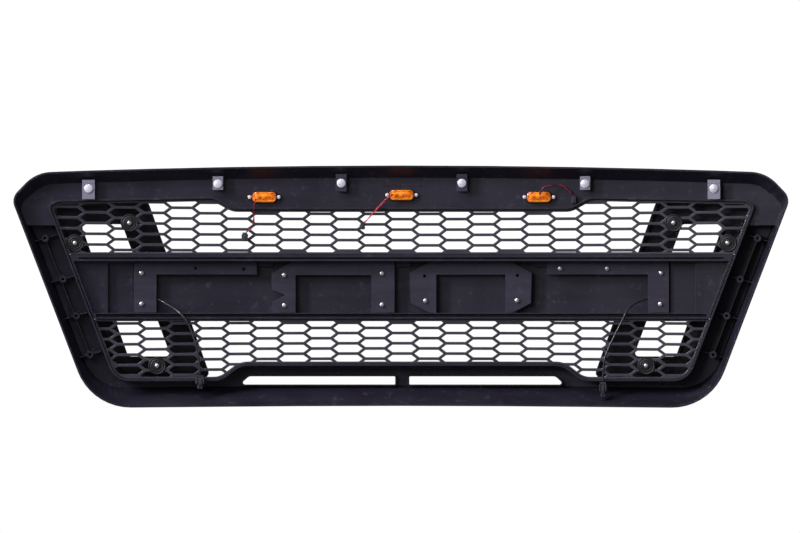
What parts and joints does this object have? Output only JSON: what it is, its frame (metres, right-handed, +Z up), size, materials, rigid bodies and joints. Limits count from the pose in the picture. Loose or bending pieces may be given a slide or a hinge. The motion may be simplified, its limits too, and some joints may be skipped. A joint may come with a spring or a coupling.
{
  "type": "front grille",
  "caption": "Pickup-truck front grille seen from behind: black moulded surround, honeycomb inserts, cross bar, marker lamps with leads, clips and bolts.",
  "frame": {"origin": "on the seal pad of the top band's flat back face, at the middle of the grille's width", "axes": "+Z up, -Y out of the front of the grille, +Y to its back, +X towards the vehicle's left"},
  "size_m": [1.2382, 0.1039, 0.3873],
  "materials": {
    "black_plastic": "satin moulded ABS",
    "mesh_plastic": "satin moulded ABS",
    "frame_plastic": "fine grain",
    "dark_fittings": "smooth nylon",
    "amber_lens": "clear amber",
    "clear_lens": "clear",
    "zinc_steel": "zinc plated",
    "screw_steel": "bright",
    "red_wire": "smooth insulation",
    "black_cable": "smooth jacket"
  },
  "bodies": {
    "root": {"backing_frame_1": "frame_plastic", "backing_frame_2": "frame_plastic", "backing_frame_3": "frame_plastic", "backing_frame_4": "frame_plastic", "badge_blank_1": "frame_plastic", "badge_blank_2": "frame_plastic", "badge_blank_3": "frame_plastic", "badge_blank_4": "frame_plastic", "centre_bar": "black_plastic", "frame_screw_01": "screw_steel", "frame_screw_02": "screw_steel", "frame_screw_03": "screw_steel", "frame_screw_04": "screw_steel", "frame_screw_05": "screw_steel", "frame_screw_06": "screw_steel", "frame_screw_07": "screw_steel", "frame_screw_08": "screw_steel", "frame_screw_09": "screw_steel", "frame_screw_10": "screw_steel", "frame_screw_11": "screw_steel", "frame_screw_12": "screw_steel", "lamp_cable_left": "black_cable", "lamp_cable_right": "black_cable", "lamp_plug_left": "dark_fittings", "lamp_plug_right": "dark_fittings", "lower_mesh": "mesh_plastic", "marker_lamp_centre": "amber_lens", "marker_lamp_left": "amber_lens", "marker_lamp_right": "amber_lens", "marker_plug_centre": "dark_fittings", "marker_plug_left": "dark_fittings", "marker_plug_right": "dark_fittings", "marker_wire_centre": "red_wire", "marker_wire_left": "red_wire", "marker_wire_right": "red_wire", "mounting_bolt_1": "zinc_steel", "mounting_bolt_2": "zinc_steel", "mounting_bolt_3": "zinc_steel", "mounting_bolt_4": "zinc_steel", "mounting_bolt_5": "zinc_steel", "mounting_bolt_6": "zinc_steel", "nut_clip_1": "frame_plastic", "nut_clip_2": "zinc_steel", "nut_clip_3": "zinc_steel", "nut_clip_4": "frame_plastic", "nut_clip_5": "zinc_steel", "nut_clip_6": "zinc_steel", "side_lamp_left": "clear_lens", "side_lamp_right": "clear_lens", "side_trim_left": "black_plastic", "side_trim_right": "black_plastic", "surround_shell": "black_plastic", "trim_fixing_1": "dark_fittings", "trim_fixing_2": "dark_fittings", "trim_fixing_3": "dark_fittings", "trim_fixing_4": "dark_fittings", "trim_fixing_5": "dark_fittings", "trim_fixing_6": "dark_fittings", "upper_mesh": "mesh_plastic"}
  },
  "joints": []
}
